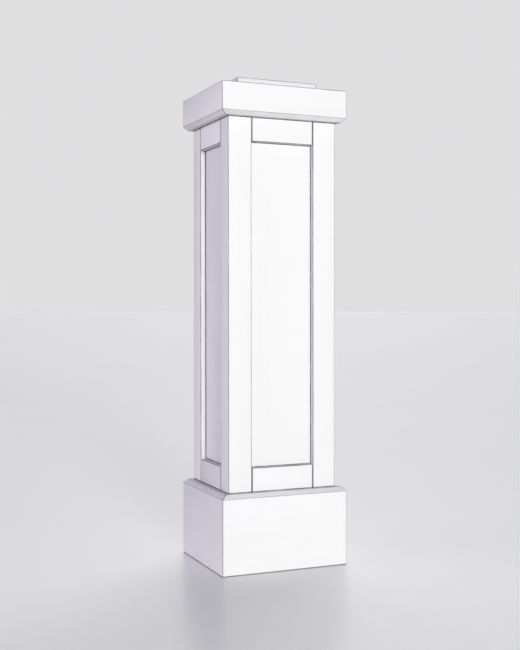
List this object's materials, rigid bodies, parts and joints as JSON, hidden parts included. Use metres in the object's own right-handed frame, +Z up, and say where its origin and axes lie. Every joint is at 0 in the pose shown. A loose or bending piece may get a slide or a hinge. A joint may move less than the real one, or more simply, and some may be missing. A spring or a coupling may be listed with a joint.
{
  "type": "newel post",
  "caption": "Square white PVC newel post with a chamfered plinth, recessed panels framed by stiles and rails, a chamfered cap band and a low block on top.",
  "frame": {"origin": "on the post's vertical axis, in the plane that the post stands on", "axes": "+Z up along the post; -Y faces the front, +X the right, each square to a panelled side"},
  "size_m": [0.2946, 0.2946, 1.097],
  "materials": {
    "plinth_pvc": "satin white cellular PVC board",
    "band_pvc": "satin white cellular PVC board",
    "stile_pvc": "satin white cellular PVC board",
    "rail_pvc": "satin white cellular PVC board",
    "panel_pvc": "satin white cellular PVC board",
    "block_pvc": "satin white cellular PVC block, faces a little rougher"
  },
  "bodies": {
    "root": {"plinth_board_front": "plinth_pvc", "plinth_board_right": "plinth_pvc", "plinth_board_back": "plinth_pvc", "plinth_board_left": "plinth_pvc", "cap_band_front": "band_pvc", "cap_band_right": "band_pvc", "cap_band_back": "band_pvc", "cap_band_left": "band_pvc", "front_side_left_stile": "stile_pvc", "front_side_right_stile": "stile_pvc", "right_side_left_stile": "stile_pvc", "right_side_right_stile": "stile_pvc", "back_side_left_stile": "stile_pvc", "back_side_right_stile": "stile_pvc", "left_side_left_stile": "stile_pvc", "left_side_right_stile": "stile_pvc", "top_rail_front": "rail_pvc", "top_rail_right": "rail_pvc", "top_rail_back": "rail_pvc", "top_rail_left": "rail_pvc", "bottom_rail_front": "rail_pvc", "bottom_rail_right": "rail_pvc", "bottom_rail_back": "rail_pvc", "bottom_rail_left": "rail_pvc", "panel_board_front": "panel_pvc", "panel_board_right": "panel_pvc", "panel_board_back": "panel_pvc", "panel_board_left": "panel_pvc", "top_block": "block_pvc"}
  },
  "joints": []
}
